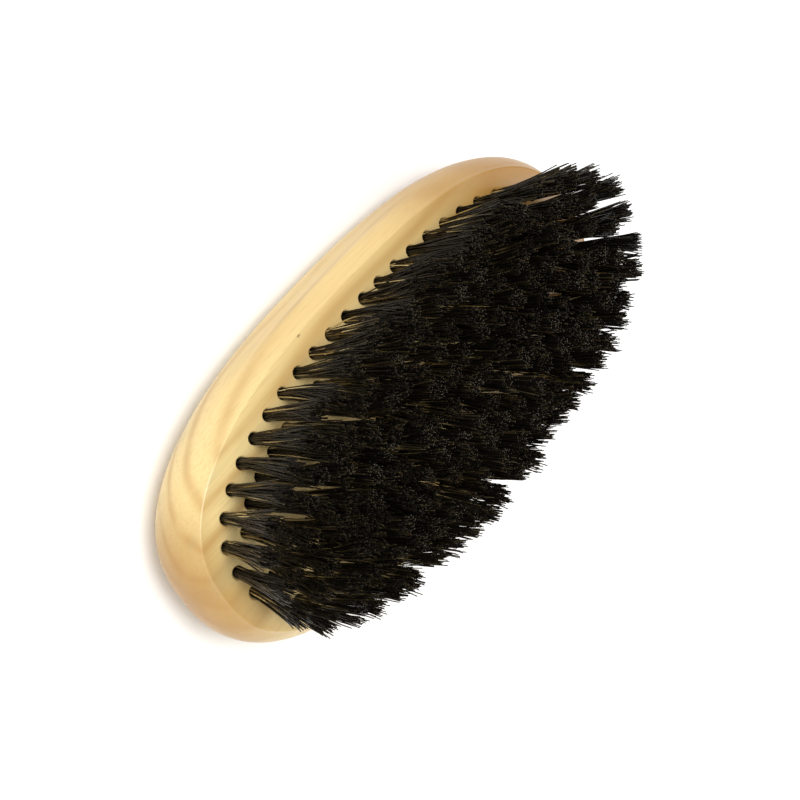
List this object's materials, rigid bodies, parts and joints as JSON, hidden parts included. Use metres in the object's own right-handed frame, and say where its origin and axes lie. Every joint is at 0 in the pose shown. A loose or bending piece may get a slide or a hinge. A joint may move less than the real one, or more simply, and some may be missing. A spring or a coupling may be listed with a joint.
{
  "type": "beard brush",
  "caption": "Oval hardwood palm brush with dark bristle tufts set in concentric rings, swelling sides, shallow finger grooves and a flat back to rest on.",
  "frame": {"origin": "middle of the flat on the block's back, the face that the brush rests on", "axes": "+Z along the bristles, away from the back; +X along the length of the block; +Y across it"},
  "size_m": [0.125, 0.057, 0.0382],
  "materials": {
    "block": "satin lacquer over pale close-grained hardwood",
    "bristle": "glossy black natural bristle with scattered pale hairs",
    "anchor": "drawn flat wire"
  },
  "bodies": {
    "root": {"block": "block", "tufts_ring1_a": "bristle", "tufts_ring1_b": "bristle", "tufts_ring1_c": "bristle", "tufts_ring1_d": "bristle", "tufts_ring2_a": "bristle", "tufts_ring2_b": "bristle", "tufts_ring2_c": "bristle", "tufts_ring2_d": "bristle", "tufts_ring3_a": "bristle", "tufts_ring3_b": "bristle", "tufts_ring3_c": "bristle", "tufts_ring3_d": "bristle", "tufts_ring4_a": "bristle", "tufts_ring4_b": "bristle", "tufts_ring4_c": "bristle", "tufts_ring4_d": "bristle", "tufts_middle_row": "bristle", "anchors_ring1": "anchor", "anchors_ring2": "anchor", "anchors_ring3": "anchor", "anchors_ring4": "anchor", "anchors_middle_row": "anchor"}
  },
  "joints": []
}
